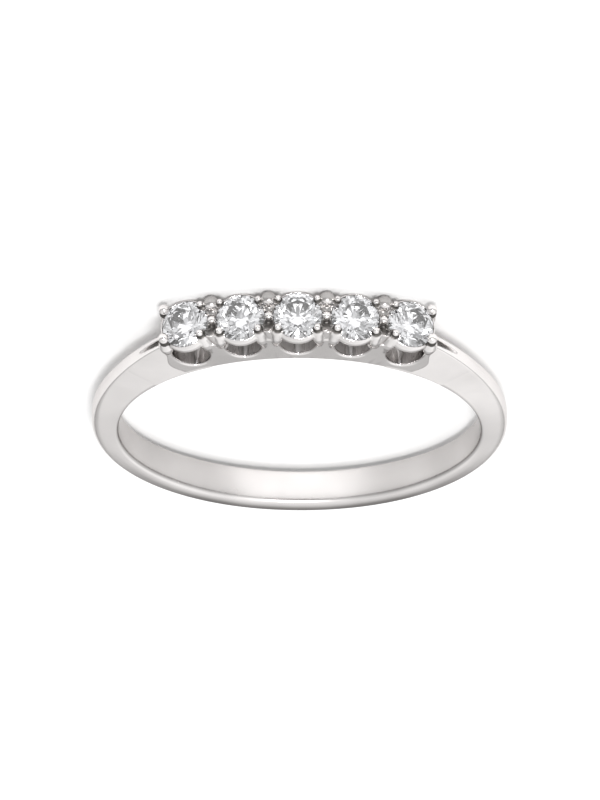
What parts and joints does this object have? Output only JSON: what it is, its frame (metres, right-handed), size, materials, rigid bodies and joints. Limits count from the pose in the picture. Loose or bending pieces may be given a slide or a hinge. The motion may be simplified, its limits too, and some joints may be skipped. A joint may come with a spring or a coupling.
{
  "type": "diamond band ring",
  "caption": "Finger ring in pale metal with a row of round brilliant stones held by paired claws over a gallery of arched windows, and a plain tapered shank.",
  "frame": {"origin": "centre of the finger bore, half way through the band's width", "axes": "+Z along the finger axis, so the ring lies on its side; the row of stones is towards -Y and the plain back of the shank towards +Y; X runs along the row"},
  "size_m": [0.02, 0.0229, 0.0026],
  "materials": {
    "metal": "polished white gold",
    "stone": "faceted, clear"
  },
  "bodies": {
    "root": {"band": "metal", "diamond_1": "stone", "diamond_2": "stone", "diamond_3": "stone", "diamond_4": "stone", "diamond_5": "stone"}
  },
  "joints": []
}
